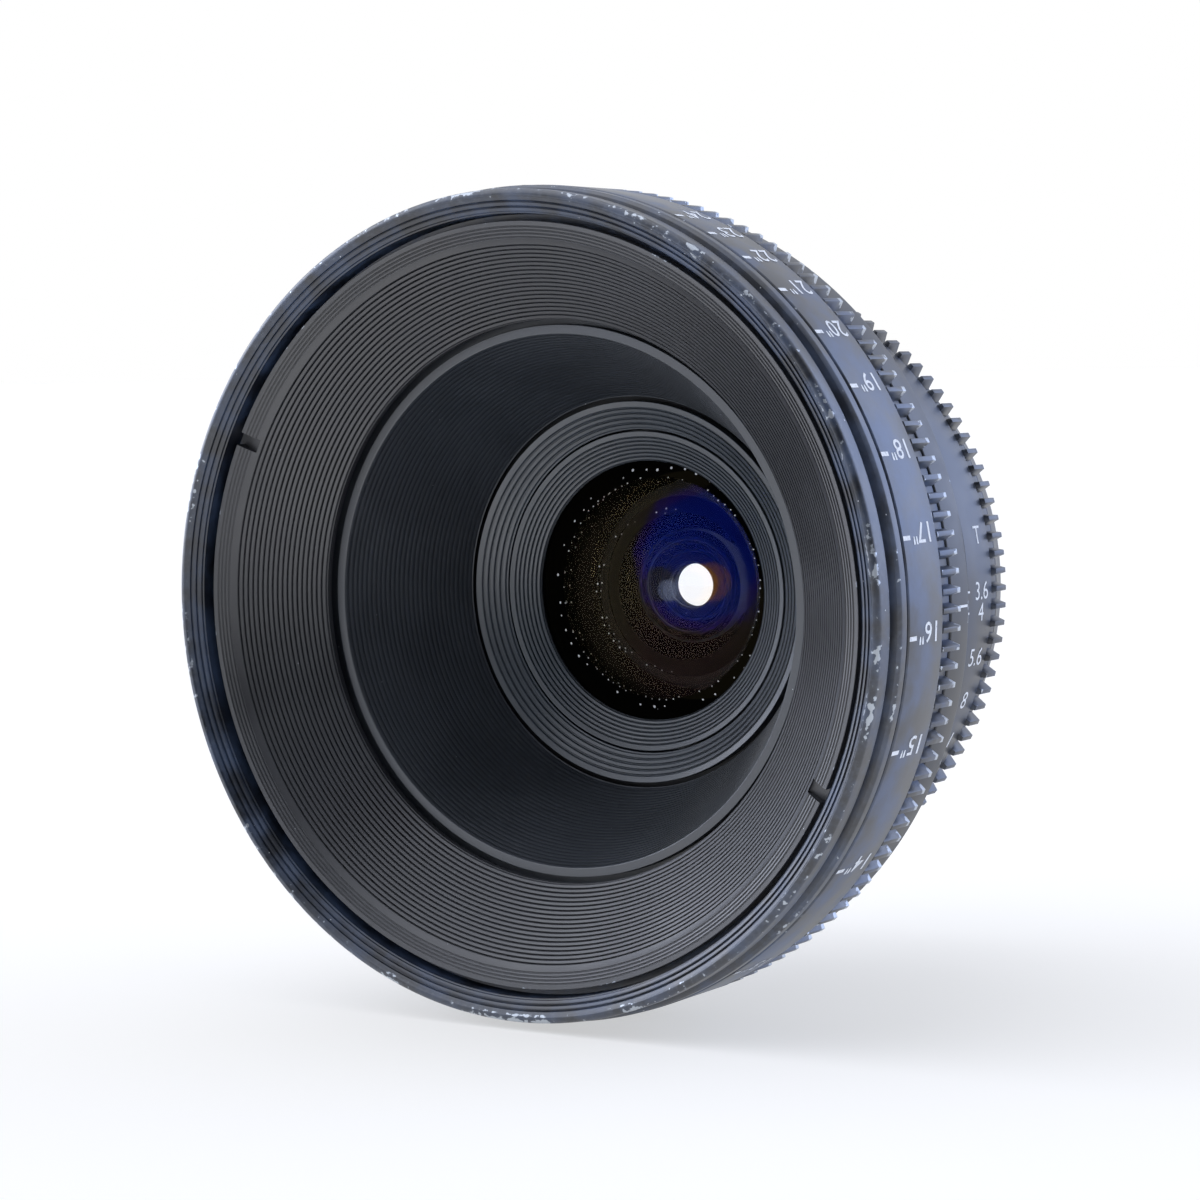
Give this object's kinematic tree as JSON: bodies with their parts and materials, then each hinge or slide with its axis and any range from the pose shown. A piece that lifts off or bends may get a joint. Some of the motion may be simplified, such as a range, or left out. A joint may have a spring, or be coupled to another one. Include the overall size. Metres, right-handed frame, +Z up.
{
  "type": "cine prime lens",
  "caption": "Wide-angle cine prime lens with a flared front, ribbed light baffles, geared focus and iris rings, a bladed iris and a breech-lock mount.",
  "frame": {"origin": "centre of the mount's seating face, on the optical axis", "axes": "+Y along the optical axis towards the camera, so the front of the lens faces -Y; +Z up with the index lines at +X, on the side of the lens"},
  "size_m": [0.1154, 0.098, 0.1154],
  "materials": {
    "front_ring": "black anodised, satin",
    "outer_baffle": "dark grey anodised, satin",
    "main_barrel": "dark anodised",
    "index_sleeve": "black anodised, satin",
    "sleeve_screws": "blackened steel",
    "rear_collar": "black anodised, satin",
    "collar_screws": "blackened steel",
    "mount_shim": "ground steel",
    "lens_mount": "ground steel",
    "mount_screws": "blackened steel",
    "rear_baffle": "black, matt",
    "focus_ring": "black anodised, satin",
    "focus_stop_pin": "ground steel",
    "focus_carrier": "dark anodised",
    "drive_keys": "ground steel",
    "key_screws": "blackened steel",
    "inner_baffle": "black anodised, satin",
    "front_cell": "black anodised, satin",
    "cell_nut": "dark anodised",
    "front_retainer": "black anodised, satin",
    "spacer_1": "black, matt",
    "spacer_2": "black, matt",
    "element_1": "coated optical glass",
    "element_2": "coated optical glass",
    "element_3": "coated optical glass",
    "element_4": "coated optical glass",
    "element_5": "coated optical glass",
    "element_6": "coated optical glass",
    "element_7": "coated optical glass",
    "element_8": "coated optical glass",
    "element_9": "coated optical glass",
    "iris_housing": "black, matt",
    "iris_cover": "black, matt",
    "rear_cell": "black anodised, satin",
    "rear_spacer_1": "black, matt",
    "rear_spacer_2": "black, matt",
    "rear_spacer_3": "black, matt",
    "rear_retainer": "black, matt",
    "iris_ring": "black anodised, satin",
    "iris_drive_pin": "blackened steel",
    "iris_cam_ring": "dark anodised",
    "iris_blade_1": "blackened spring steel",
    "iris_blade_2": "blackened spring steel",
    "iris_blade_3": "blackened spring steel",
    "iris_blade_4": "blackened spring steel",
    "iris_blade_5": "blackened spring steel",
    "iris_blade_6": "blackened spring steel",
    "iris_blade_7": "blackened spring steel",
    "iris_blade_8": "blackened spring steel",
    "iris_blade_9": "blackened spring steel",
    "iris_blade_10": "blackened spring steel",
    "iris_blade_11": "blackened spring steel",
    "iris_blade_12": "blackened spring steel",
    "iris_blade_13": "blackened spring steel",
    "iris_blade_14": "blackened spring steel"
  },
  "bodies": {
    "barrel": {"front_ring": "front_ring", "outer_baffle": "outer_baffle", "main_barrel": "main_barrel", "index_sleeve": "index_sleeve", "sleeve_screws": "sleeve_screws", "rear_collar": "rear_collar", "collar_screws": "collar_screws", "mount_shim": "mount_shim", "lens_mount": "lens_mount", "mount_screws": "mount_screws", "rear_baffle": "rear_baffle"},
    "focus_ring": {"focus_ring": "focus_ring", "focus_stop_pin": "focus_stop_pin"},
    "optics": {"focus_carrier": "focus_carrier", "drive_keys": "drive_keys", "key_screws": "key_screws", "inner_baffle": "inner_baffle", "front_cell": "front_cell", "cell_nut": "cell_nut", "front_retainer": "front_retainer", "spacer_1": "spacer_1", "spacer_2": "spacer_2", "element_1": "element_1", "element_2": "element_2", "element_3": "element_3", "element_4": "element_4", "element_5": "element_5", "element_6": "element_6", "element_7": "element_7", "element_8": "element_8", "element_9": "element_9", "iris_housing": "iris_housing", "iris_cover": "iris_cover", "rear_cell": "rear_cell", "rear_spacer_1": "rear_spacer_1", "rear_spacer_2": "rear_spacer_2", "rear_spacer_3": "rear_spacer_3", "rear_retainer": "rear_retainer"},
    "iris_ring": {"iris_ring": "iris_ring", "iris_drive_pin": "iris_drive_pin"},
    "iris_cam": {"iris_cam_ring": "iris_cam_ring"},
    "blade_1": {"iris_blade_1": "iris_blade_1"},
    "blade_2": {"iris_blade_2": "iris_blade_2"},
    "blade_3": {"iris_blade_3": "iris_blade_3"},
    "blade_4": {"iris_blade_4": "iris_blade_4"},
    "blade_5": {"iris_blade_5": "iris_blade_5"},
    "blade_6": {"iris_blade_6": "iris_blade_6"},
    "blade_7": {"iris_blade_7": "iris_blade_7"},
    "blade_8": {"iris_blade_8": "iris_blade_8"},
    "blade_9": {"iris_blade_9": "iris_blade_9"},
    "blade_10": {"iris_blade_10": "iris_blade_10"},
    "blade_11": {"iris_blade_11": "iris_blade_11"},
    "blade_12": {"iris_blade_12": "iris_blade_12"},
    "blade_13": {"iris_blade_13": "iris_blade_13"},
    "blade_14": {"iris_blade_14": "iris_blade_14"}
  },
  "joints": [
    {"name": "focus_turn", "type": "hinge", "parent": "barrel", "child": "focus_ring", "pos_m": [0, -0.065, 0], "axis": [0, 1, 0], "range_deg": [-84, 176.5]},
    {"name": "focus_slide", "type": "slide", "parent": "barrel", "child": "optics", "axis": [0, 1, 0], "range_m": [-0.00047, 0.00098]},
    {"name": "iris_turn", "type": "hinge", "parent": "barrel", "child": "iris_ring", "pos_m": [0, -0.026, 0], "axis": [0, -1, 0], "range_deg": [0, 45.4]},
    {"name": "iris_cam_turn", "type": "hinge", "parent": "optics", "child": "iris_cam", "pos_m": [0, -0.0123, 0], "axis": [0, -1, 0], "range_deg": [-0.01, 45.41]},
    {"name": "blade_1_swing", "type": "hinge", "parent": "optics", "child": "blade_1", "pos_m": [0.0125, -0.0145, 0], "axis": [0, -1, 0], "range_deg": [-0.01, 26.7]},
    {"name": "blade_2_swing", "type": "hinge", "parent": "optics", "child": "blade_2", "pos_m": [0.01126, -0.0145, 0.00542], "axis": [0, -1, 0], "range_deg": [-0.01, 26.7]},
    {"name": "blade_3_swing", "type": "hinge", "parent": "optics", "child": "blade_3", "pos_m": [0.00779, -0.0145, 0.00977], "axis": [0, -1, 0], "range_deg": [-0.01, 26.7]},
    {"name": "blade_4_swing", "type": "hinge", "parent": "optics", "child": "blade_4", "pos_m": [0.00278, -0.0145, 0.01219], "axis": [0, -1, 0], "range_deg": [-0.01, 26.7]},
    {"name": "blade_5_swing", "type": "hinge", "parent": "optics", "child": "blade_5", "pos_m": [-0.00278, -0.0145, 0.01219], "axis": [0, -1, 0], "range_deg": [-0.01, 26.7]},
    {"name": "blade_6_swing", "type": "hinge", "parent": "optics", "child": "blade_6", "pos_m": [-0.00779, -0.0145, 0.00977], "axis": [0, -1, 0], "range_deg": [-0.01, 26.7]},
    {"name": "blade_7_swing", "type": "hinge", "parent": "optics", "child": "blade_7", "pos_m": [-0.01126, -0.0145, 0.00542], "axis": [0, -1, 0], "range_deg": [-0.01, 26.7]},
    {"name": "blade_8_swing", "type": "hinge", "parent": "optics", "child": "blade_8", "pos_m": [-0.0125, -0.0145, 0], "axis": [0, -1, 0], "range_deg": [-0.01, 26.7]},
    {"name": "blade_9_swing", "type": "hinge", "parent": "optics", "child": "blade_9", "pos_m": [-0.01126, -0.0145, -0.00542], "axis": [0, -1, 0], "range_deg": [-0.01, 26.7]},
    {"name": "blade_10_swing", "type": "hinge", "parent": "optics", "child": "blade_10", "pos_m": [-0.00779, -0.0145, -0.00977], "axis": [0, -1, 0], "range_deg": [-0.01, 26.7]},
    {"name": "blade_11_swing", "type": "hinge", "parent": "optics", "child": "blade_11", "pos_m": [-0.00278, -0.0145, -0.01219], "axis": [0, -1, 0], "range_deg": [-0.01, 26.7]},
    {"name": "blade_12_swing", "type": "hinge", "parent": "optics", "child": "blade_12", "pos_m": [0.00278, -0.0145, -0.01219], "axis": [0, -1, 0], "range_deg": [-0.01, 26.7]},
    {"name": "blade_13_swing", "type": "hinge", "parent": "optics", "child": "blade_13", "pos_m": [0.00779, -0.0145, -0.00977], "axis": [0, -1, 0], "range_deg": [-0.01, 26.7]},
    {"name": "blade_14_swing", "type": "hinge", "parent": "optics", "child": "blade_14", "pos_m": [0.01126, -0.0145, -0.00542], "axis": [0, -1, 0], "range_deg": [-0.01, 26.7]}
  ],
  "couplings": [
    {"joint": "focus_slide", "follows": "focus_turn", "m_per_rad": 0.00031831},
    {"joint": "iris_cam_turn", "follows": "iris_turn", "ratio": 1},
    {"joint": "blade_1_swing", "follows": "iris_turn", "ratio": 0.58785},
    {"joint": "blade_2_swing", "follows": "iris_turn", "ratio": 0.58785},
    {"joint": "blade_3_swing", "follows": "iris_turn", "ratio": 0.58785},
    {"joint": "blade_4_swing", "follows": "iris_turn", "ratio": 0.58785},
    {"joint": "blade_5_swing", "follows": "iris_turn", "ratio": 0.58785},
    {"joint": "blade_6_swing", "follows": "iris_turn", "ratio": 0.58785},
    {"joint": "blade_7_swing", "follows": "iris_turn", "ratio": 0.58785},
    {"joint": "blade_8_swing", "follows": "iris_turn", "ratio": 0.58785},
    {"joint": "blade_9_swing", "follows": "iris_turn", "ratio": 0.58785},
    {"joint": "blade_10_swing", "follows": "iris_turn", "ratio": 0.58785},
    {"joint": "blade_11_swing", "follows": "iris_turn", "ratio": 0.58785},
    {"joint": "blade_12_swing", "follows": "iris_turn", "ratio": 0.58785},
    {"joint": "blade_13_swing", "follows": "iris_turn", "ratio": 0.58785},
    {"joint": "blade_14_swing", "follows": "iris_turn", "ratio": 0.58785}
  ]
}
